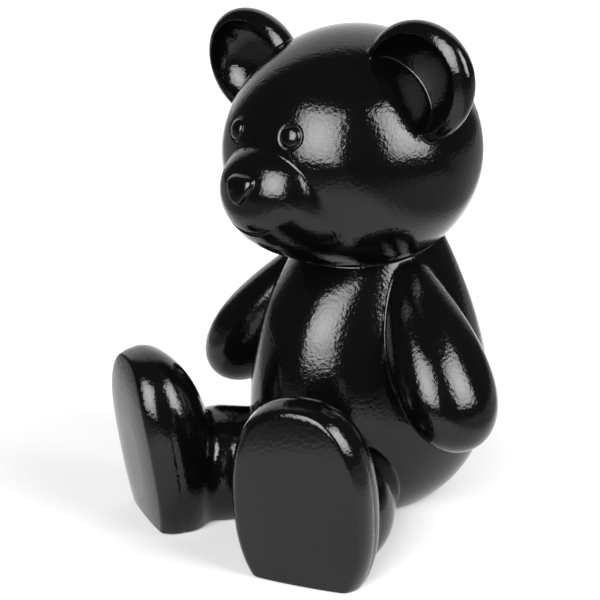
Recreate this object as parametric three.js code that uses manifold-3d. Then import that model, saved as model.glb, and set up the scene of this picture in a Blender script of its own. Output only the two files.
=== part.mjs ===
import * as THREE from "three";
import { mergeVertices } from "three/addons/utils/BufferGeometryUtils.js";
import Module from "manifold-3d";

// A seated bear, cast as one piece with a flat underside.
// It faces -Y, its left side is +X, and the origin is on the floor
// under the middle of its width and length.

// The figure's own height, from the floor to the top of the ears, in millimetres.
// The sizes below are those of a figure 600 mm tall and grow with it.
const HEIGHT = 600;
const mm = (size) => (size * HEIGHT) / 600;

const HEAD_WIDTH = mm(300);
const HEAD_DEPTH = mm(321);
const HEAD_TALL = mm(286);
const HEAD_Y = mm(42.7);
const HEAD_Z = mm(444);
const HEAD_NARROWS = 0.09; // the crown is narrower than the cheeks
const HEAD_NODS = 2; // degrees

// Places on the head are measured from its middle.
const MUZZLE_WIDTH = mm(142);
const MUZZLE_DEPTH = mm(127);
const MUZZLE_TALL = mm(125);
const MUZZLE_FORWARD = mm(126);
const MUZZLE_UP = mm(-31);

const JAW_WIDTH = mm(172);
const JAW_DEPTH = mm(124);
const JAW_TALL = mm(100);
const JAW_FORWARD = mm(90);
const JAW_UP = mm(-62);

const NOSE_WIDTH = mm(42);
const NOSE_TALL = mm(32);
const NOSE_UP = mm(-20);
const NOSE_RAISED = mm(6);
const NOSE_NARROWS = 0.4; // towards its lower point

const MOUTH_WIDTH = mm(66);
const MOUTH_UP = mm(-72);
const MOUTH_SMILE = mm(9); // the corners stand this much over the middle
const MOUTH_GROOVE = mm(6);

const EYE_OUT = mm(41.5);
const EYE_UP = mm(38);
const EYE_BEAD = mm(24);
const EYE_RAISED = mm(5);
const EYE_RING = mm(26.5); // across the groove round the bead
const EYE_GROOVE = mm(4);

const EAR_WIDTH = mm(149);
const EAR_TALL = mm(135);
const EAR_LIP = 0.82; // the lip's width as a share of the ear's
const EAR_LIP_FORWARD = mm(14);
const EAR_CUP = mm(38); // from the lip to the bottom of the cup
const EAR_BACK = mm(40);
const EAR_OUT = mm(126);
const EAR_FORWARD = mm(36);
const EAR_UP = mm(90);
const EAR_ROLL = -19; // degrees: the outer end of its long way stands higher
const EAR_DIPS = 6; // degrees: the cup looks down

const TORSO_WIDTH = mm(253);
const TORSO_DEPTH = mm(297);
const TORSO_TALL = mm(481); // of the whole egg: its top is in the head
const TORSO_Y = mm(67.9);
const TORSO_Z = mm(215.6);
const TORSO_NARROWS = 0.51; // across, towards the neck
const TORSO_THINS = 0.41; // front to back, towards the neck
const BELLY_NARROWS = 0.15; // towards the front, from the rump's width
const CHEST_RECEDES = 1.85; // how fast the front falls back towards the egg's top
const CHEST_STARTS = 0.06; // share of the egg's half height, over its middle

const ARM_DEPTH = mm(108);
const ARM_THICKNESS = mm(84);
const ARM_NARROWS = 0.75; // towards the shoulder
const ARM_RUNS_ON = mm(48); // how far the egg runs past shoulder and hand
const SHOULDER = [mm(52), mm(64.7), mm(328)];
const HAND = [mm(174.5), mm(25.7), mm(159)];

const FOOT_WIDTH = mm(165);
const FOOT_TALL = mm(213);
const FOOT_SUNK = mm(42); // cut from the bottom of its oval by the flat underside
const FOOT_LONG = mm(98);
const FOOT_SQUARE = 2.4; // power of the section's rounded square: 2 is an oval
const SOLE_INSET = mm(24); // the flat sole stands this much inside the fullest section
const SOLE_BAND = mm(34); // from the sole back to the fullest section
const SOLE_LEANS = 8; // degrees that the top of the sole leans forward
const FOOT_SPLAY = 22; // degrees that the sole looks outward
const FOOT_OUT = mm(130);
const FOOT_FORWARD = mm(187.3);

const LEG_DIAMETER = mm(148);
const LEG_Z = mm(52);
const LEG_BEHIND_SOLE = mm(102);
const HIP_DIAMETER = mm(126);
const HIP = [mm(16), mm(28.7), mm(44)];

// Facets round and along each ball or egg.
const HEAD_FACETS = [42, 25];
const TORSO_FACETS = [34, 23];
const LIMB_FACETS = [24, 15];
const SMALL_FACETS = [16, 9];
const GROOVE_FACETS = [6, 18];

// Facets round the turned forms, and along a quarter turn of their profiles.
const EAR_FACETS = 28;
const FOOT_FACETS = 34;
const LEG_FACETS = 26;
const PROFILE_FACETS = 6;

const wasm = await Module();
wasm.setup();

const radians = THREE.MathUtils.degToRad;

function solid(geometry) {
  geometry.deleteAttribute("normal");
  geometry.deleteAttribute("uv");
  const merged = mergeVertices(geometry, 1e-3);
  const mesh = new wasm.Mesh({
    numProp: 3,
    vertProperties: new Float32Array(merged.attributes.position.array),
    triVerts: new Uint32Array(merged.index.array),
  });
  return new wasm.Manifold(mesh);
}

// Moves every point of a geometry by a rule.
function reshaped(geometry, rule) {
  const positions = geometry.attributes.position;
  const point = new THREE.Vector3();
  for (let i = 0; i < positions.count; i++) {
    point.fromBufferAttribute(positions, i);
    rule(point);
    positions.setXYZ(i, point.x, point.y, point.z);
  }
  return geometry;
}

// An egg standing along Z. Its width alone, or its depth too, narrows towards the top.
function egg(width, depth, tall, facets, narrows = 0, depthNarrows = narrows) {
  const ball = new THREE.SphereGeometry(1, ...facets).rotateX(Math.PI / 2);
  return reshaped(ball, (p) => {
    p.x *= (width / 2) * (1 - narrows * p.z);
    p.y *= (depth / 2) * (1 - depthNarrows * p.z);
    p.z *= tall / 2;
  });
}

// Profile points on a quarter of an ellipse, from one angle to another in degrees.
function arc(radius, height, from, to) {
  const steps = Math.ceil((PROFILE_FACETS * Math.abs(to - from)) / 90);
  return Array.from({ length: steps + 1 }, (_, i) => {
    const angle = radians(from + ((to - from) * i) / steps);
    return new THREE.Vector2(radius * Math.cos(angle), height * Math.sin(angle));
  });
}

// Turns a profile about Y. Its first and last points are set on the axis.
function turned(profile, around) {
  profile.at(0).x = 0;
  profile.at(-1).x = 0;
  return new THREE.LatheGeometry(profile, around);
}

// How far forward an ellipsoid's surface is at a place across and up, from its middle.
function front(width, depth, tall, x, z) {
  const within = 1 - ((2 * x) / width) ** 2 - ((2 * z) / tall) ** 2;
  return (depth / 2) * Math.sqrt(Math.max(within, 0));
}

// The point of the head's surface at a place across and up, and the way it faces.
function onHead(x, z) {
  const width = HEAD_WIDTH * (1 - (HEAD_NARROWS * 2 * z) / HEAD_TALL);
  const y = -front(width, HEAD_DEPTH, HEAD_TALL, x, z);
  const facing = new THREE.Vector3(x / width ** 2, y / HEAD_DEPTH ** 2, z / HEAD_TALL ** 2);
  return { place: new THREE.Vector3(x, y, z), facing: facing.normalize() };
}

function onMuzzle(x, z) {
  return -MUZZLE_FORWARD - front(MUZZLE_WIDTH, MUZZLE_DEPTH, MUZZLE_TALL, x, z - MUZZLE_UP);
}

function muzzle() {
  const form = egg(MUZZLE_WIDTH, MUZZLE_DEPTH, MUZZLE_TALL, LIMB_FACETS);
  return solid(form.translate(0, -MUZZLE_FORWARD, MUZZLE_UP));
}

// A wider, lower egg that leads the muzzle's lower half into the cheeks and the chin.
function jaw() {
  const form = egg(JAW_WIDTH, JAW_DEPTH, JAW_TALL, LIMB_FACETS);
  return solid(form.translate(0, -JAW_FORWARD, JAW_UP));
}

// A low cushion with a rounded triangle for its outline, bent over the muzzle.
// Half of its thickness is sunk in the muzzle.
function nose() {
  const thick = NOSE_RAISED * 2;
  const form = egg(NOSE_WIDTH, 2 * thick, NOSE_TALL, SMALL_FACETS, -NOSE_NARROWS, 0);
  return solid(
    reshaped(form, (p) => {
      p.z += NOSE_UP;
      p.y += onMuzzle(p.x, p.z) + thick - NOSE_RAISED;
    }),
  );
}

// A shallow groove that runs out at both ends, bent to a smile over the muzzle.
function mouth() {
  const half = MOUTH_WIDTH / 2;
  const form = egg(MOUTH_GROOVE, MOUTH_GROOVE, MOUTH_WIDTH, GROOVE_FACETS);
  form.rotateY(Math.PI / 2);
  return solid(
    reshaped(form, (p) => {
      const up = MOUTH_UP + MOUTH_SMILE * (p.x / half) ** 2;
      p.z += up;
      p.y += onMuzzle(p.x, up);
    }),
  );
}

// Lays a form made along Z so that its middle is at a place and its top faces a way.
function laid(geometry, place, facing) {
  const turn = new THREE.Quaternion().setFromUnitVectors(new THREE.Vector3(0, 0, 1), facing);
  return geometry.applyMatrix4(
    new THREE.Matrix4().compose(place, turn, new THREE.Vector3(1, 1, 1)),
  );
}

function eyeBead(side) {
  const { place, facing } = onHead(side * EYE_OUT, EYE_UP);
  return solid(laid(egg(EYE_BEAD, EYE_BEAD, EYE_RAISED * 2, SMALL_FACETS), place, facing));
}

function eyeGroove(side) {
  const { place, facing } = onHead(side * EYE_OUT, EYE_UP);
  const form = new THREE.TorusGeometry(EYE_RING / 2, EYE_GROOVE / 2, ...GROOVE_FACETS);
  return solid(laid(form, place, facing));
}

// A cup: one profile from the back, round the outside and over the thin lip into the hollow.
function ear(side) {
  const radius = EAR_WIDTH / 2;
  const lipAngle = THREE.MathUtils.radToDeg(Math.acos(EAR_LIP));
  const bulge = EAR_LIP_FORWARD / Math.sin(radians(lipAngle));
  const back = arc(radius, -EAR_BACK, 90, 0);
  const rim = arc(radius, bulge, 0, lipAngle);
  const hollow = arc(radius * EAR_LIP, -EAR_CUP, 0, 90);
  hollow.forEach((p) => (p.y += EAR_LIP_FORWARD));
  const form = turned([...back, ...rim.slice(1), ...hollow.slice(1)], EAR_FACETS);
  form.rotateX(Math.PI).scale(1, 1, EAR_TALL / EAR_WIDTH);
  form.rotateY(side * radians(EAR_ROLL)).rotateX(radians(EAR_DIPS));
  return solid(form.translate(side * EAR_OUT, -EAR_FORWARD, EAR_UP));
}

// The head with all that is on it, made about its own middle and then nodded and raised.
function head() {
  let form = solid(egg(HEAD_WIDTH, HEAD_DEPTH, HEAD_TALL, HEAD_FACETS, HEAD_NARROWS, 0));
  form = form.add(jaw()).add(muzzle()).add(nose()).subtract(mouth());
  for (const side of [1, -1]) {
    form = form.subtract(eyeGroove(side)).add(eyeBead(side)).add(ear(side));
  }
  return form.rotate([HEAD_NODS, 0, 0]).translate([0, HEAD_Y, HEAD_Z]);
}

// A pear with its belly narrower than its rump and a chest that falls back to the neck.
function torso() {
  const size = [TORSO_WIDTH, TORSO_DEPTH, TORSO_TALL];
  const form = egg(...size, TORSO_FACETS, TORSO_NARROWS, TORSO_THINS);
  reshaped(form, (p) => {
    const up = Math.max((2 * p.z) / TORSO_TALL - CHEST_STARTS, 0);
    p.y *= p.y < 0 ? Math.exp(-CHEST_RECEDES * up ** 2) : 1;
    p.x *= 1 + (BELLY_NARROWS * 2 * p.y) / TORSO_DEPTH;
  });
  return solid(form.translate(0, TORSO_Y, TORSO_Z));
}

// Makes a form of the length between two places and lays it from one to the other.
function between(from, to, make) {
  const along = to.clone().sub(from);
  const length = along.length();
  const middle = from.clone().addScaledVector(along, 0.5);
  return laid(make(length), middle, along.normalize());
}

const onSide = ([x, y, z], side) => new THREE.Vector3(side * x, y, z);

function arm(side) {
  const form = between(onSide(HAND, side), onSide(SHOULDER, side), (length) =>
    egg(ARM_THICKNESS, ARM_DEPTH, length + 2 * ARM_RUNS_ON, LIMB_FACETS, ARM_NARROWS),
  );
  return solid(form);
}

// The foot's oval is cut by the underside; its flat sole looks forward, and a rounded
// band runs from the sole's outline back to the fullest section.
function foot(side) {
  const halfWidth = FOOT_WIDTH / 2;
  const halfTall = (FOOT_TALL + FOOT_SUNK) / 2;
  const heel = arc(1, SOLE_BAND - FOOT_LONG, 90, 0);
  heel.forEach((p) => (p.y -= SOLE_BAND));
  const band = arc(SOLE_INSET / halfWidth, SOLE_BAND, 0, 90);
  band.forEach((p) => p.set(1 - SOLE_INSET / halfWidth + p.x, p.y - SOLE_BAND));
  const form = turned([...heel, ...band.slice(1), new THREE.Vector2(0, 0)], FOOT_FACETS);
  reshaped(form, (p) => {
    const ring = Math.hypot(p.x, p.z);
    const powers = Math.abs(p.x) ** FOOT_SQUARE + Math.abs(p.z) ** FOOT_SQUARE;
    const squared = powers ** (1 / FOOT_SQUARE);
    const stretch = ring > 0 ? 1 / squared : 0;
    const inset = p.y > -SOLE_BAND && ring > 0 ? (1 - ring) * halfWidth : 0;
    const tall = inset > 0 ? halfTall - inset : ring * halfTall;
    p.x *= stretch * ring * halfWidth;
    p.z *= stretch * tall;
  });
  form.rotateX(Math.PI).translate(0, 0, halfTall - FOOT_SUNK);
  form.rotateX(radians(SOLE_LEANS)).rotateZ(side * radians(FOOT_SPLAY));
  return solid(form.translate(side * FOOT_OUT, -FOOT_FORWARD, 0));
}

// A leg lies from the hip to inside the foot: a capsule that widens a little.
function leg(side) {
  const splay = side * radians(FOOT_SPLAY);
  const hip = onSide(HIP, side);
  const heel = new THREE.Vector3(
    side * FOOT_OUT - LEG_BEHIND_SOLE * Math.sin(splay),
    -FOOT_FORWARD + LEG_BEHIND_SOLE * Math.cos(splay),
    LEG_Z,
  );
  const form = between(hip, heel, (length) => {
    const hipEnd = arc(HIP_DIAMETER / 2, -HIP_DIAMETER / 2, 90, 0);
    hipEnd.forEach((p) => (p.y -= length / 2));
    const heelEnd = arc(LEG_DIAMETER / 2, LEG_DIAMETER / 2, 0, 90);
    heelEnd.forEach((p) => (p.y += length / 2));
    return turned([...hipEnd, ...heelEnd], LEG_FACETS).rotateX(Math.PI / 2);
  });
  return solid(form);
}

// Everything under the floor, cut away so that the figure sits flat.
function underFloor() {
  const size = 2 * HEIGHT;
  return solid(new THREE.BoxGeometry(size, size, size).translate(0, 0, -size / 2));
}

function bear() {
  let form = head().add(torso());
  for (const side of [1, -1]) {
    form = form.add(arm(side)).add(leg(side)).add(foot(side));
  }
  return form.subtract(underFloor());
}

function meshOf(body, name, material) {
  const { vertProperties, triVerts } = body.getMesh();
  const geometry = new THREE.BufferGeometry();
  geometry.setAttribute("position", new THREE.BufferAttribute(vertProperties, 3));
  geometry.setIndex(new THREE.BufferAttribute(triVerts, 1));
  geometry.computeVertexNormals();
  const mesh = new THREE.Mesh(geometry, material);
  mesh.name = name;
  return mesh;
}

const lacquer = new THREE.MeshStandardMaterial({
  color: 0x0a0a0b,
  roughness: 0.12,
  metalness: 0,
});

const figure = new THREE.Group();
figure.name = "bear_sculpture";
figure.add(meshOf(bear(), "bear", lacquer));

export default figure;
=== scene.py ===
import math

import bpy
import numpy as np
from mathutils import Matrix, Vector


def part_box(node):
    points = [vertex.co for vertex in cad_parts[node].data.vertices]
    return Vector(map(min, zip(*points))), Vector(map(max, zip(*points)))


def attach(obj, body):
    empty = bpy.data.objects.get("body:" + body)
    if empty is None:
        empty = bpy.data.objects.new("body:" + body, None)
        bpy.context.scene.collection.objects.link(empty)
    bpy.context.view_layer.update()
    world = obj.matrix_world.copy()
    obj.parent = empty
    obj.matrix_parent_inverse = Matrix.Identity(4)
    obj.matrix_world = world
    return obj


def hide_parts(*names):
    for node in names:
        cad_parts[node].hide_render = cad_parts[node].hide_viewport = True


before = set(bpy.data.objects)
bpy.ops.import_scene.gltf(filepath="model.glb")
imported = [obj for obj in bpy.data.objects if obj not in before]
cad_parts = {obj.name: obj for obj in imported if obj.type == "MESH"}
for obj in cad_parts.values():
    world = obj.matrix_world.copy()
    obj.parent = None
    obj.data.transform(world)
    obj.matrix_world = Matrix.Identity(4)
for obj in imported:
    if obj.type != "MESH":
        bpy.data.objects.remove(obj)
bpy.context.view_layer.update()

# The forms are given in millimetres for a figure 600 mm tall, and laid over the
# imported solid, whose own height sets the scale.
LOW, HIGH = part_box("bear")
METRES = (HIGH.z - LOW.z) / 600.0

# Head: places on it are measured from its middle.
HEAD_SIZE = (300.0, 321.0, 286.0)
HEAD_Y, HEAD_Z = 42.7, 444.0
HEAD_NARROWS = 0.09
HEAD_NODS = 2.0
MUZZLE_SIZE = (142.0, 127.0, 125.0)
MUZZLE_FORWARD, MUZZLE_UP = 126.0, -31.0
JAW_SIZE = (172.0, 124.0, 100.0)
JAW_FORWARD, JAW_UP = 90.0, -62.0
NOSE_WIDTH, NOSE_TALL, NOSE_UP, NOSE_RAISED = 42.0, 33.0, -19.5, 6.0
NOSE_NARROWS, NOSE_SQUARE, NOSE_CUSHION = 0.5, 2.5, 7.0
MOUTH_WIDTH, MOUTH_UP, MOUTH_SMILE, MOUTH_GROOVE, MOUTH_ENDS = 60.0, -72.0, 8.0, 2.6, 0.02
EYE_OUT, EYE_UP = 41.5, 38.0
EYE_BEAD, EYE_RAISED, EYE_SUNK, EYE_RING, EYE_GROOVE = 24.0, 5.0, 1.0, 26.5, 3.0
EAR_WIDTH, EAR_TALL = 149.0, 135.0
EAR_LIP, EAR_LIP_FORWARD, EAR_CUP, EAR_BACK = 0.82, 14.0, 38.0, 40.0
EAR_PLACE = (126.0, -36.0, 90.0)
EAR_ROLL, EAR_DIPS = -19.0, 6.0

# Body, arms, legs and feet, measured from the floor under the figure's middle.
TORSO_SIZE = (253.0, 297.0, 481.0)
TORSO_Y, TORSO_Z = 67.9, 215.6
TORSO_NARROWS, TORSO_THINS, BELLY_NARROWS = 0.51, 0.41, 0.15
CHEST_RECEDES, CHEST_STARTS = 1.85, 0.06
ARM_THICKNESS, ARM_DEPTH, ARM_NARROWS, ARM_RUNS_ON = 84.0, 108.0, 0.75, 48.0
SHOULDER = (52.0, 64.7, 328.0)
HAND = (174.5, 25.7, 159.0)
FOOT_WIDTH, FOOT_TALL, FOOT_SUNK, FOOT_LONG = 165.0, 213.0, 42.0, 98.0
FOOT_SQUARE, FOOT_STEEP = 2.4, 0.8
SOLE_INSET, SOLE_BAND, SOLE_LEANS = 24.0, 34.0, 8.0
SOLE_CROWN, SOLE_ROLL, ROLL_STARTS, ROLL_REACH = 4.0, 4.5, 125.0, 60.0
VALLEY_BEHIND_SOLE, VALLEY_DEEP, VALLEY_REACH = 30.0, 1.2, 7.0
VALLEY_FADES = 0.7
FOOT_SPLAY, FOOT_OUT, FOOT_FORWARD = 22.0, 130.0, 187.3
LEG_RADIUS, LEG_Z, LEG_BEHIND_SOLE = 74.0, 52.0, 102.0
HIP_RADIUS, HIP = 63.0, (16.0, 28.7, 44.0)

# How softly the forms run into each other. The muzzle's crease fades into the jaw.
CREASE = 3.0
FACE_CREASE = 1.5
JAW_STARTS, JAW_GROWS, JAW_CREASE = -12.0, 72.0, 24.0
NOSE_CREASE, EYE_CREASE = 0.8, 0.8
SOFT_CREASE = 12.0
LIP_ROUNDING, GROOVE_ROUNDING, EYE_ROUNDING = 1.2, 1.5, 1.2
NOSE_ROUNDING, SOLE_ROUNDING, BASE_ROUNDING = 2.0, 2.0, 3.0

# Fineness of the skin: its cell, its edges on the carving of the face, and its edges
# wherever it bends by more than a few degrees from one point to the next.
CELL, MARGIN_CELLS = 4.4, 2.3
FINE_EDGE = 1.54
CREASE_EDGE, CREASE_BEND = 2.4, 9.0
# How far a point moves at a time to reach the surface, and along it to even the spacing.
LEAST_SLOPE, FURTHEST_PUSH, SLIDE = 0.05, 2.5, 0.6

# Lacquer: colour, gloss with its clouding, and orange-peel grain.
LACQUER_COLOUR, LACQUER_IOR = (0.0013, 0.0013, 0.0014, 1), 1.38
ROUGHNESS, LEAST_ROUGH, MOST_ROUGH = 0.1, 0.06, 0.16
CLOUD_SCALE, CLOUD_DETAIL = 14.0, 3.0
PEEL_SCALE, PEEL_DETAIL, PEEL_STRENGTH, PEEL_DEPTH = 230.0, 2.0, 0.32, 0.001

# Studio: directions in degrees from the front, radiances with white paper at 1.
CAMERA_AZIMUTH, CAMERA_ELEVATION = 43.7, 16.1
CAMERA_DISTANCE, CAMERA_ASIDE, CAMERA_ABOVE = 1.640, -0.0503, -0.0707
CAMERA_TARGET = (0, 0.025, 0.331)
FOCAL_PIXELS, FRAME_PIXELS, SENSOR = 1368.4, 600.0, 36.0
BACKDROP_AZIMUTH, BACKDROP_RISE = -136.0, 28.0
BACKDROP_HALF_ANGLE, BACKDROP_EDGE = 38.0, 6.0
BACKDROP, ROOM = 1.2, 0.06
SOFTBOX_DISTANCE, SOFTBOX_RADIANCE = 2.6, 11.8
SOFTBOX_TARGET = (0, 0.04, 0.33)
FLOOR_HALF, FLOOR_ROUGHNESS, FLOOR_SHINE = 30.0, 0.9, 0.1
STRIP_ASIDE, STRIP_HALF_WIDTH, STRIP_WIDENS = 0.035, 0.39, 0.235
# Each fade runs between the first two places, from the third value to the fourth.
SOFTBOX_FADE = (0.0, 0.7, 1.5, 0.7)
STRIP_FADE = (0.0, 0.3, 1.0, 0.3)
# The floor's painted glow: emission, strongest behind the figure.
FLOOR_PAINTED_GLOW_FADE = (-0.2, 1.2, 0.12, 1.0)
# The floor's painted shade: its colour darkens in front of the figure.
FLOOR_PAINTED_SHADE_FADE = (-1.6, -0.4, 0.06, 0.55)


def turned(degrees_x=0.0, degrees_y=0.0, degrees_z=0.0):
    """Rotation about Y, then X, then Z, as rows to multiply points by from the left."""
    rotation = (
        Matrix.Rotation(math.radians(degrees_z), 3, "Z")
        @ Matrix.Rotation(math.radians(degrees_x), 3, "X")
        @ Matrix.Rotation(math.radians(degrees_y), 3, "Y")
    )
    return np.array(rotation, np.float32)


def point(x, y, z):
    return np.array([x, y, z], np.float32)


def mirrored(p):
    """The points with both sides laid over the figure's left."""
    out = p.copy()
    out[:, 0] = np.abs(p[:, 0])
    return out


def soft_max(a, b, width):
    h = np.clip(0.5 + 0.5 * (a - b) / width, 0, 1)
    return b + (a - b) * h + width * h * (1 - h)


def soft_min(a, b, width):
    return -soft_max(-a, -b, width)


def ellipsoid(p, size):
    """About the distance from an ellipsoid of that full size, below zero inside."""
    r = np.asarray(size, np.float32) / 2
    near = np.sqrt(((p / r) ** 2).sum(-1))
    slope = np.sqrt(((p / r**2) ** 2).sum(-1)) + 1e-6
    return near * (near - 1) / slope


def egg(p, size, narrows, depth_narrows):
    """An ellipsoid whose width and depth narrow towards its top."""
    t = np.clip(p[:, 2] / (size[2] / 2), -1.3, 1.3)
    wide, deep = 1 - narrows * t, 1 - depth_narrows * t
    q = np.stack([p[:, 0] / wide, p[:, 1] / deep, p[:, 2]], -1)
    return ellipsoid(q, size) * np.minimum(np.minimum(wide, deep), 1)


def capsule(p, start, end, start_radius, end_radius):
    a, b = point(*start), point(*end)
    line = b - a
    t = np.clip((p - a) @ line / (line @ line), 0, 1)
    radius = start_radius + (end_radius - start_radius) * t
    return np.linalg.norm(p - a - t[:, None] * line, axis=1) - radius


def ellipsoid_front(size, x, z):
    within = 1 - (2 * x / size[0]) ** 2 - (2 * z / size[2]) ** 2
    return size[1] / 2 * np.sqrt(np.maximum(within, 0))


def ear_field(p):
    """A cup: a rounded disc with a deeper back, hollowed from its lip."""
    q = (p - point(*EAR_PLACE)) @ turned(EAR_DIPS, EAR_ROLL)
    tall = EAR_TALL / EAR_WIDTH
    bulge = EAR_LIP_FORWARD / math.sin(math.acos(EAR_LIP))
    back = ellipsoid(q, (EAR_WIDTH, 2 * EAR_BACK, EAR_TALL))
    front = ellipsoid(q, (EAR_WIDTH, 2 * bulge, EAR_TALL))
    outside = np.where(q[:, 1] > 0, back, front)
    h = q.copy()
    h[:, 1] = np.maximum(q[:, 1] + EAR_LIP_FORWARD, 0)
    lip = EAR_WIDTH * EAR_LIP
    hollow = ellipsoid(h, (lip, 2 * EAR_CUP, lip * tall))
    return soft_max(outside, -hollow, LIP_ROUNDING)


def muzzle_field(p):
    return ellipsoid(p - point(0, -MUZZLE_FORWARD, MUZZLE_UP), MUZZLE_SIZE)


def nose_field(p, muzzle):
    """A rounded triangle that stands on the muzzle as a low cushion."""
    tall = np.clip((p[:, 2] - NOSE_UP) / (NOSE_TALL / 2), -1.5, 1.5)
    wide = NOSE_WIDTH / 2 * (1 + NOSE_NARROWS * tall) / (1 + NOSE_NARROWS / 2)
    across = np.abs(p[:, 0]) / np.maximum(wide, 1)
    powers = across**NOSE_SQUARE + np.abs(tall) ** NOSE_SQUARE
    outline = (powers ** (1 / NOSE_SQUARE) - 1) * NOSE_TALL / 2
    cushion = soft_max(outline, muzzle - NOSE_RAISED, NOSE_CUSHION)
    return soft_max(cushion, p[:, 1] + MUZZLE_FORWARD, NOSE_ROUNDING)


def mouth_field(p, form):
    """A groove in the surface of a form that runs out at both ends."""
    half = MOUTH_WIDTH / 2
    x = np.abs(p[:, 0])
    share = np.clip(x / half, 0, 1)
    line = MOUTH_UP + MOUTH_SMILE * share**2
    away = np.sqrt((p[:, 2] - line) ** 2 + form**2 + np.maximum(x - half, 0) ** 2)
    return away - MOUTH_GROOVE * np.sqrt(np.maximum(1 - share**2, MOUTH_ENDS))


def eye_frame():
    """Middle of an eye on the head's surface and three directions, the last outward."""
    width = HEAD_SIZE[0] * (1 - HEAD_NARROWS * 2 * EYE_UP / HEAD_SIZE[2])
    y = -ellipsoid_front((width, *HEAD_SIZE[1:]), EYE_OUT, EYE_UP)
    out = np.array([EYE_OUT / width**2, y / HEAD_SIZE[1] ** 2, EYE_UP / HEAD_SIZE[2] ** 2])
    out /= np.linalg.norm(out)
    across = np.cross([0, 0, 1], out)
    across /= np.linalg.norm(across)
    axes = np.stack([across, np.cross(out, across), out], -1).astype(np.float32)
    return point(EYE_OUT, y, EYE_UP), axes


def eye_fields(p):
    """The groove round the left eye, and the bead within it."""
    place, axes = eye_frame()
    q = (p - place) @ axes
    from_ring = np.hypot(q[:, 0], q[:, 1]) - EYE_RING / 2
    ring = np.hypot(from_ring, q[:, 2]) - EYE_GROOVE / 2
    bead = ellipsoid(q + point(0, 0, EYE_SUNK), (EYE_BEAD, EYE_BEAD, 2 * (EYE_RAISED + EYE_SUNK)))
    return ring, bead


def head_field(p):
    """Head, ears, jaw, muzzle, nose, mouth and eyes, in the head's own frame."""
    left = mirrored(p)
    form = egg(p, HEAD_SIZE, HEAD_NARROWS, 0.0)
    form = soft_min(form, ear_field(left), CREASE)
    jaw = ellipsoid(p - point(0, -JAW_FORWARD, JAW_UP), JAW_SIZE)
    form = soft_min(form, jaw, JAW_CREASE)
    muzzle = muzzle_field(p)
    low = np.clip((JAW_STARTS - p[:, 2]) / JAW_GROWS, 0, 1)
    form = soft_min(form, muzzle, FACE_CREASE + (JAW_CREASE - FACE_CREASE) * low)

    near_face = p[:, 1] < -HEAD_SIZE[1] / 4
    with_nose = soft_min(form, nose_field(p, muzzle), NOSE_CREASE)
    form = np.where(near_face, with_nose, form)
    with_mouth = soft_max(form, -mouth_field(p, form), GROOVE_ROUNDING)
    form = np.where(p[:, 1] < -MUZZLE_FORWARD, with_mouth, form)
    ring, bead = eye_fields(left)
    return soft_min(soft_max(form, -ring, EYE_ROUNDING), bead, EYE_CREASE)


def torso_field(p):
    """A pear with its belly narrower than its rump and a chest that falls back to the neck."""
    q = p - point(0, TORSO_Y, TORSO_Z)
    up = np.clip(2 * q[:, 2] / TORSO_SIZE[2] - CHEST_STARTS, 0, 1)
    deep = np.where(q[:, 1] < 0, np.exp(-CHEST_RECEDES * up**2), 1)
    wide = 1 + BELLY_NARROWS * np.clip(2 * q[:, 1] / TORSO_SIZE[1], -1.2, 1.2)
    q[:, 0] /= wide
    q[:, 1] /= deep
    least = np.minimum(np.minimum(wide, deep), 1)
    return egg(q, TORSO_SIZE, TORSO_NARROWS, TORSO_THINS) * least


def arm_field(p):
    """An egg that lies from the hand to the shoulder, its deep way set fore and aft."""
    shoulder, hand = np.array(SHOULDER), np.array(HAND)
    line = shoulder - hand
    length = np.linalg.norm(line)
    line /= length
    fore = np.array([0, 1, 0]) - line[1] * line
    fore /= np.linalg.norm(fore)
    axes = np.stack([np.cross(fore, line), fore, line], -1).astype(np.float32)
    q = (p - ((shoulder + hand) / 2).astype(np.float32)) @ axes
    size = (ARM_THICKNESS, ARM_DEPTH, length + 2 * ARM_RUNS_ON)
    return egg(q, size, ARM_NARROWS, ARM_NARROWS)


def foot_field(p):
    """A crowned sole, a rounded band, a shallow valley, then the heel."""
    q = (p - point(FOOT_OUT, -FOOT_FORWARD, 0)) @ turned(SOLE_LEANS, 0, FOOT_SPLAY)
    depth, height = q[:, 1], q[:, 2]
    half_x, half_z = FOOT_WIDTH / 2, (FOOT_TALL + FOOT_SUNK) / 2
    forward = np.clip(1 - depth / SOLE_BAND, 0, 1)
    inset = SOLE_INSET * (1 - np.sqrt(np.maximum(1 - forward**2, 1e-4)))
    x = np.abs(q[:, 0]) / (half_x - inset)
    z = np.abs(height - half_z + FOOT_SUNK) / (half_z - inset)
    ring = (x**FOOT_SQUARE + z**FOOT_SQUARE) ** (1 / FOOT_SQUARE)
    back = np.clip((depth - SOLE_BAND) / (FOOT_LONG - SOLE_BAND), 0, 1.5)
    body = (np.sqrt(ring**2 + back**2) - 1) * half_x * FOOT_STEEP
    on_top = np.clip(height / (half_z - FOOT_SUNK) - 1, 0, 1)
    valley = VALLEY_DEEP * (1 - VALLEY_FADES * on_top)
    body += valley * np.exp(-np.abs(depth - VALLEY_BEHIND_SOLE) / VALLEY_REACH)
    roll = SOLE_ROLL * np.clip((height - ROLL_STARTS) / ROLL_REACH, 0, 1.5) ** 2
    return soft_max(body, SOLE_CROWN * ring**4 + roll - depth, SOLE_ROUNDING)


def leg_field(p):
    splay = math.radians(FOOT_SPLAY)
    heel = (
        FOOT_OUT - LEG_BEHIND_SOLE * math.sin(splay),
        -FOOT_FORWARD + LEG_BEHIND_SOLE * math.cos(splay),
        LEG_Z,
    )
    return capsule(p, HIP, heel, HIP_RADIUS, LEG_RADIUS)


def in_head(p):
    return (p - point(0, HEAD_Y, HEAD_Z)) @ turned(HEAD_NODS)


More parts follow.
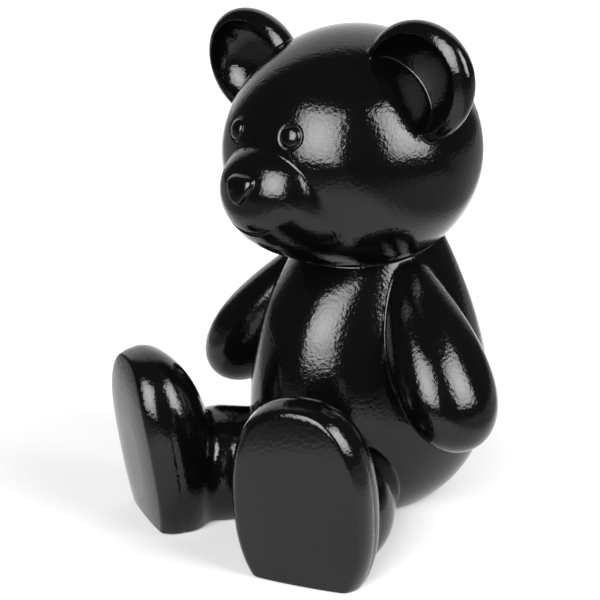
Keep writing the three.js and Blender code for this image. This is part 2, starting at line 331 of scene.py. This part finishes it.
def figure(p):
    """The whole figure: below zero inside, about the distance to the surface near it."""
    p = p.astype(np.float32)
    left = mirrored(p)
    limbs = soft_min(foot_field(left), leg_field(left), SOFT_CREASE)
    form = soft_min(torso_field(p), arm_field(left), CREASE)
    form = soft_min(form, limbs, CREASE)
    form = soft_min(form, head_field(in_head(p)), CREASE)
    return soft_max(form, -p[:, 2], BASE_ROUNDING)


def in_slabs(field, points, size=400000):
    parts = [field(points[i : i + size]) for i in range(0, len(points), size)]
    return np.concatenate(parts)


def slope(points, reach=0.4):
    """The field's gradient, by small steps each way."""
    out = np.empty_like(points)
    for axis in range(3):
        step = np.zeros(3, np.float32)
        step[axis] = reach
        out[:, axis] = in_slabs(figure, points + step) - in_slabs(figure, points - step)
    return out / (2 * reach)


def outward(points):
    """The direction in which the surface faces at each point."""
    g = slope(points)
    return g / (np.linalg.norm(g, axis=1)[:, None] + 1e-6)


def onto_surface(points, rounds=3):
    for _ in range(rounds):
        g = slope(points)
        push = in_slabs(figure, points) / np.maximum((g**2).sum(-1), LEAST_SLOPE)
        points = points - np.clip(push, -FURTHEST_PUSH, FURTHEST_PUSH)[:, None] * g
    return points


def net(low, high, cell):
    """A closed quad skin through the grid cells that the surface crosses."""
    low = np.asarray(low, np.float32) - MARGIN_CELLS * cell
    count = np.ceil((np.asarray(high) + MARGIN_CELLS * cell - low) / cell).astype(int) + 1
    axes = [low[i] + cell * np.arange(count[i], dtype=np.float32) for i in range(3)]
    grid = np.stack(np.meshgrid(*axes, indexing="ij"), -1).reshape(-1, 3)
    value = in_slabs(figure, grid).reshape(count)
    inside = value < 0
    cells = count - 1
    total = np.zeros((*cells, 3), np.float32)
    crossings = np.zeros(cells, np.float32)
    corner = np.array([(i, j, k) for i in (0, 1) for j in (0, 1) for k in (0, 1)])

    def at(array, offset):
        i, j, k = offset
        return array[i : i + cells[0], j : j + cells[1], k : k + cells[2]]

    for start in corner:
        for axis in range(3):
            if start[axis]:
                continue
            end = start.copy()
            end[axis] = 1
            cross = at(inside, start) != at(inside, end)
            a, b = at(value, start), at(value, end)
            t = np.where(cross, a / np.where(cross, a - b, 1), 0)
            place = np.broadcast_to(start.astype(np.float32), (*cells, 3)).copy()
            place[..., axis] = t
            total += place * cross[..., None]
            crossings += cross
    active = crossings > 0
    index = np.full(cells, -1)
    index[active] = np.arange(active.sum())
    mean = total[active] / crossings[active][:, None]
    points = low + cell * (np.argwhere(active) + mean)
    quads = []
    for axis in range(3):
        u, v = (axis + 1) % 3, (axis + 2) % 3
        a = inside.take(range(0, count[axis] - 1), axis)
        b = inside.take(range(1, count[axis]), axis)
        edges = np.argwhere(a != b)
        keep = (edges[:, u] > 0) & (edges[:, v] > 0)
        edges = edges[keep]
        leaving = a[tuple(edges.T)]
        ring = []
        for du, dv in ((1, 1), (0, 1), (0, 0), (1, 0)):
            c = edges.copy()
            c[:, u] -= du
            c[:, v] -= dv
            ring.append(index[tuple(c.T)])
        ring = np.stack(ring, -1)
        ring[~leaving] = ring[~leaving][:, ::-1]
        quads.append(ring)
    return points.astype(np.float32), np.concatenate(quads)


def relaxed(points, triangles, rounds):
    """Evens the spacing, sliding points along the surface only."""
    edges = np.concatenate([triangles[:, [0, 1]], triangles[:, [1, 2]], triangles[:, [2, 0]]])
    for _ in range(rounds):
        total = np.zeros_like(points)
        number = np.zeros(len(points), np.float32)
        for a, b in ((0, 1), (1, 0)):
            for axis in range(3):
                ends = points[edges[:, b], axis]
                total[:, axis] += np.bincount(edges[:, a], ends, len(points))
            number += np.bincount(edges[:, a], minlength=len(points))
        move = total / number[:, None] - points
        normal = outward(points)
        move -= (move * normal).sum(-1)[:, None] * normal
        points = points + SLIDE * move
    return points


def split(points, triangles, marked):
    """Halves the marked edges of a triangle mesh. marked has a row per triangle."""
    count = len(points)
    ends = np.stack([triangles, np.roll(triangles, -1, 1)], -1)
    keys = ends.min(-1).astype(np.int64) * count + ends.max(-1)
    chosen = np.unique(keys[marked])
    place = np.searchsorted(chosen, keys)
    hit = place < len(chosen)
    hit[hit] = chosen[place[hit]] == keys[hit]
    middle = np.where(hit, count + place, -1)
    first, second = np.divmod(chosen, count)
    points = np.concatenate([points, (points[first] + points[second]) / 2])
    number = hit.sum(1)
    out = [triangles[number == 0]]
    for turn in range(3):
        t = np.roll(triangles, -turn, 1)
        m = np.roll(middle, -turn, 1)
        h = np.roll(hit, -turn, 1)
        one = (number == 1) & h[:, 0]
        a, b, c, ab = t[one, 0], t[one, 1], t[one, 2], m[one, 0]
        out += [np.stack([a, ab, c], 1), np.stack([ab, b, c], 1)]
        two = (number == 2) & ~h[:, 2]
        a, b, c, ab, bc = t[two, 0], t[two, 1], t[two, 2], m[two, 0], m[two, 1]
        out += [
            np.stack([ab, b, bc], 1),
            np.stack([a, ab, bc], 1),
            np.stack([a, bc, c], 1),
        ]
    three = number == 3
    a, b, c = triangles[three].T
    ab, bc, ca = middle[three].T
    out += [
        np.stack([a, ab, ca], 1),
        np.stack([ab, b, bc], 1),
        np.stack([ca, bc, c], 1),
        np.stack([ab, bc, ca], 1),
    ]
    return points, np.concatenate(out)


def face_carving(points):
    """True near the eyes, nose and mouth, where the skin is finest."""
    q = mirrored(in_head(points))
    x, z = q[:, 0], q[:, 2]
    place, _ = eye_frame()
    eye = np.linalg.norm(q - place, axis=1) < EYE_RING / 2 + EYE_GROOVE + 2
    front = q[:, 1] < -MUZZLE_FORWARD
    nose = front & (x < NOSE_WIDTH / 2 + 4) & (abs(z - NOSE_UP) < NOSE_TALL / 2 + 5)
    line = MOUTH_UP + MOUTH_SMILE * (x / (MOUTH_WIDTH / 2)) ** 2
    mouth = front & (x < MOUTH_WIDTH / 2 + 3) & (abs(z - line) < MOUTH_GROOVE + 3)
    return eye | nose | mouth


def refined(points, triangles):
    """Halves long edges on the carving of the face and across creases."""
    least_alike = math.cos(math.radians(CREASE_BEND))
    for _ in range(3):
        normal = outward(points)
        ends = np.stack([triangles, np.roll(triangles, -1, 1)], -1)
        long = np.linalg.norm(points[ends[..., 0]] - points[ends[..., 1]], axis=-1)
        alike = (normal[ends[..., 0]] * normal[ends[..., 1]]).sum(-1)
        carved = face_carving(points)[ends].any(-1) & (long > FINE_EDGE)
        creased = (alike < least_alike) & (long > CREASE_EDGE)
        marked = carved | creased
        if not marked.any():
            break
        points, triangles = split(points, triangles, marked)
        points = onto_surface(points, 2)
    return points, triangles


def skin():
    """Points, triangles and normals of the figure, in millimetres."""
    points, quads = net(np.array(LOW) / METRES, np.array(HIGH) / METRES, CELL)
    triangles = np.concatenate([quads[:, [0, 1, 2]], quads[:, [0, 2, 3]]])
    points = onto_surface(points)
    points = onto_surface(relaxed(points, triangles, 3))
    points, triangles = refined(points, triangles)
    return points, triangles, outward(points)


def noise(nodes, vector, scale, detail):
    node = nodes.new("ShaderNodeTexNoise")
    node.inputs["Scale"].default_value = scale
    node.inputs["Detail"].default_value = detail
    nodes.id_data.links.new(vector, node.inputs["Vector"])
    return node.outputs["Fac"]


def lacquer():
    """Thick black lacquer, sprayed, with a fine orange-peel grain and a cloudy gloss."""
    material = bpy.data.materials.new("black_lacquer")
    material.use_nodes = True
    nodes, links = material.node_tree.nodes, material.node_tree.links
    shader = nodes["Principled BSDF"]
    shader.inputs["Base Color"].default_value = LACQUER_COLOUR
    shader.inputs["IOR"].default_value = LACQUER_IOR
    shader.inputs["Roughness"].default_value = ROUGHNESS
    where = nodes.new("ShaderNodeTexCoord").outputs["Object"]
    gloss = nodes.new("ShaderNodeMapRange")
    gloss.inputs["To Min"].default_value = LEAST_ROUGH
    gloss.inputs["To Max"].default_value = MOST_ROUGH
    links.new(noise(nodes, where, CLOUD_SCALE, CLOUD_DETAIL), gloss.inputs["Value"])
    links.new(gloss.outputs["Result"], shader.inputs["Roughness"])
    bump = nodes.new("ShaderNodeBump")
    bump.inputs["Strength"].default_value = PEEL_STRENGTH
    bump.inputs["Distance"].default_value = PEEL_DEPTH
    links.new(noise(nodes, where, PEEL_SCALE, PEEL_DETAIL), bump.inputs["Height"])
    links.new(bump.outputs["Normal"], shader.inputs["Normal"])
    return material


def bear():
    points, triangles, normal = skin()
    mesh = bpy.data.meshes.new("bear_skin")
    mesh.vertices.add(len(points))
    mesh.vertices.foreach_set("co", (points * METRES).astype(np.float32).ravel())
    mesh.loops.add(triangles.size)
    mesh.loops.foreach_set("vertex_index", triangles.astype(np.int32).ravel())
    mesh.polygons.add(len(triangles))
    mesh.polygons.foreach_set("loop_start", np.arange(0, triangles.size, 3, dtype=np.int32))
    mesh.update(calc_edges=True)
    mesh.validate()
    mesh.polygons.foreach_set("use_smooth", np.ones(len(mesh.polygons), bool))
    mesh.normals_split_custom_set_from_vertices(normal.astype(np.float64))
    piece = bpy.data.objects.new("bear_skin", mesh)
    bpy.context.scene.collection.objects.link(piece)
    mesh.materials.append(lacquer())
    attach(piece, "root")
    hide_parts("bear")


def direction(azimuth, elevation):
    """Unit vector at an azimuth from the front, towards the figure's left, and an elevation."""
    a, e = math.radians(azimuth), math.radians(elevation)
    return Vector((math.sin(a) * math.cos(e), -math.cos(a) * math.cos(e), math.sin(e)))


def ramp(nodes, value, start, end, low, high):
    """A smooth rise from low to high as the value goes from start to end."""
    node = nodes.new("ShaderNodeMapRange")
    node.interpolation_type = "SMOOTHSTEP"
    for name, number in (("From Min", start), ("From Max", end), ("To Min", low), ("To Max", high)):
        node.inputs[name].default_value = number
    nodes.id_data.links.new(value, node.inputs["Value"])
    return node.outputs["Result"]


def along(nodes, vector, line):
    """How far a vector reaches along a line."""
    node = nodes.new("ShaderNodeVectorMath")
    node.operation = "DOT_PRODUCT"
    node.inputs[1].default_value = line
    nodes.id_data.links.new(vector, node.inputs[0])
    return node.outputs["Value"]


def worked(nodes, operation, *values):
    """A maths node on sockets and numbers."""
    node = nodes.new("ShaderNodeMath")
    node.operation = operation
    for socket, value in zip(node.inputs, values):
        if isinstance(value, float):
            socket.default_value = value
        else:
            nodes.id_data.links.new(value, socket)
    return node.outputs["Value"]


def floor_with_painted_light():
    """White floor with painted light: it glows behind the figure, and painted shade darkens its
    colour in front of the figure and to its sides.
    """
    material = bpy.data.materials.new("studio_floor_painted_light")
    material.use_nodes = True
    nodes, links = material.node_tree.nodes, material.node_tree.links
    shader = nodes["Principled BSDF"]
    shader.inputs["Roughness"].default_value = FLOOR_ROUGHNESS
    shader.inputs["Specular IOR Level"].default_value = FLOOR_SHINE
    shader.inputs["Emission Color"].default_value = (1, 1, 1, 1)
    where = nodes.new("ShaderNodeTexCoord").outputs["Object"]
    behind = along(nodes, where, direction(BACKDROP_AZIMUTH, 0))
    across = along(nodes, where, direction(BACKDROP_AZIMUTH + 90, 0))
    # the painted lit strip is a little wider than the picture and widens with it; to its sides the
    # painted glow and colour fade
    aside = worked(nodes, "ABSOLUTE", worked(nodes, "SUBTRACT", across, STRIP_ASIDE))
    half_width = worked(nodes, "MULTIPLY_ADD", behind, STRIP_WIDENS, STRIP_HALF_WIDTH)
    lit = ramp(nodes, worked(nodes, "SUBTRACT", aside, half_width), *STRIP_FADE)
    # painted light: the floor glows, more strongly behind the figure
    glow = ramp(nodes, behind, *FLOOR_PAINTED_GLOW_FADE)
    # painted shade: the floor's colour darkens in front of the figure
    painted_shade = ramp(nodes, behind, *FLOOR_PAINTED_SHADE_FADE)
    links.new(worked(nodes, "MULTIPLY", glow, lit), shader.inputs["Emission Strength"])
    links.new(worked(nodes, "MULTIPLY", painted_shade, lit), shader.inputs["Base Color"])
    return material


def floor():
    mesh = bpy.data.meshes.new("studio_floor")
    around = ((-1, -1), (1, -1), (1, 1), (-1, 1))
    mesh.from_pydata([(x * FLOOR_HALF, y * FLOOR_HALF, 0) for x, y in around], [], [range(4)])
    mesh.materials.append(floor_with_painted_light())
    piece = bpy.data.objects.new("studio_floor", mesh)
    bpy.context.scene.collection.objects.link(piece)


def softbox(name, azimuth, elevation, size):
    """A rectangular light that looks at the figure and glows most in its middle."""
    away = direction(azimuth, elevation)
    data = bpy.data.lights.new(name, "AREA")
    data.shape = "RECTANGLE"
    data.size, data.size_y = size
    data.energy = SOFTBOX_RADIANCE * math.pi * size[0] * size[1]
    data.use_nodes = True
    nodes, links = data.node_tree.nodes, data.node_tree.links
    spot = nodes.new("ShaderNodeNewGeometry")
    from_middle = nodes.new("ShaderNodeVectorMath")
    from_middle.operation = "DISTANCE"
    from_middle.inputs[1].default_value = (0.5, 0.5, 0)
    links.new(spot.outputs["Parametric"], from_middle.inputs[0])
    glow = ramp(nodes, from_middle.outputs["Value"], *SOFTBOX_FADE)
    links.new(glow, nodes["Emission"].inputs["Strength"])
    light = bpy.data.objects.new(name, data)
    light.location = Vector(SOFTBOX_TARGET) + away * SOFTBOX_DISTANCE
    light.rotation_euler = away.to_track_quat("Z", "Y").to_euler()
    bpy.context.scene.collection.objects.link(light)


def surroundings():
    """A dark room with a lit white backdrop behind the figure."""
    world = bpy.data.worlds.new("studio_surroundings")
    world.use_nodes = True
    nodes, links = world.node_tree.nodes, world.node_tree.links
    background = nodes["Background"]
    background.inputs["Color"].default_value = (1, 1, 1, 1)
    where = nodes.new("ShaderNodeTexCoord").outputs["Generated"]
    near = along(nodes, where, direction(BACKDROP_AZIMUTH, BACKDROP_RISE))
    outer, inner = (
        math.cos(math.radians(BACKDROP_HALF_ANGLE + edge)) for edge in (BACKDROP_EDGE, -BACKDROP_EDGE)
    )
    links.new(ramp(nodes, near, outer, inner, ROOM, BACKDROP), background.inputs["Strength"])
    bpy.context.scene.world = world


def studio():
    floor()
    softbox("front_softbox", 20, 26, (1.75, 2.2))
    softbox("side_softbox", 99, 29, (1.7, 1.9))
    surroundings()
    bpy.context.scene.view_settings.view_transform = "Standard"


def camera():
    """Looks along the photograph's line of sight, moved aside so that no shift is needed."""
    back = direction(CAMERA_AZIMUTH, CAMERA_ELEVATION)
    azimuth = math.radians(CAMERA_AZIMUTH)
    right = Vector((math.cos(azimuth), math.sin(azimuth), 0))
    up = back.cross(right)
    data = bpy.data.cameras.new("photo_camera")
    data.sensor_width = SENSOR
    data.lens = SENSOR * FOCAL_PIXELS / FRAME_PIXELS
    view = bpy.data.objects.new("photo_camera", data)
    view.matrix_world = Matrix((right, up, back)).transposed().to_4x4()
    moved = right * CAMERA_ASIDE + up * CAMERA_ABOVE + back * CAMERA_DISTANCE
    view.location = Vector(CAMERA_TARGET) + moved
    bpy.context.scene.collection.objects.link(view)
    bpy.context.scene.camera = view


bear()
studio()
camera()
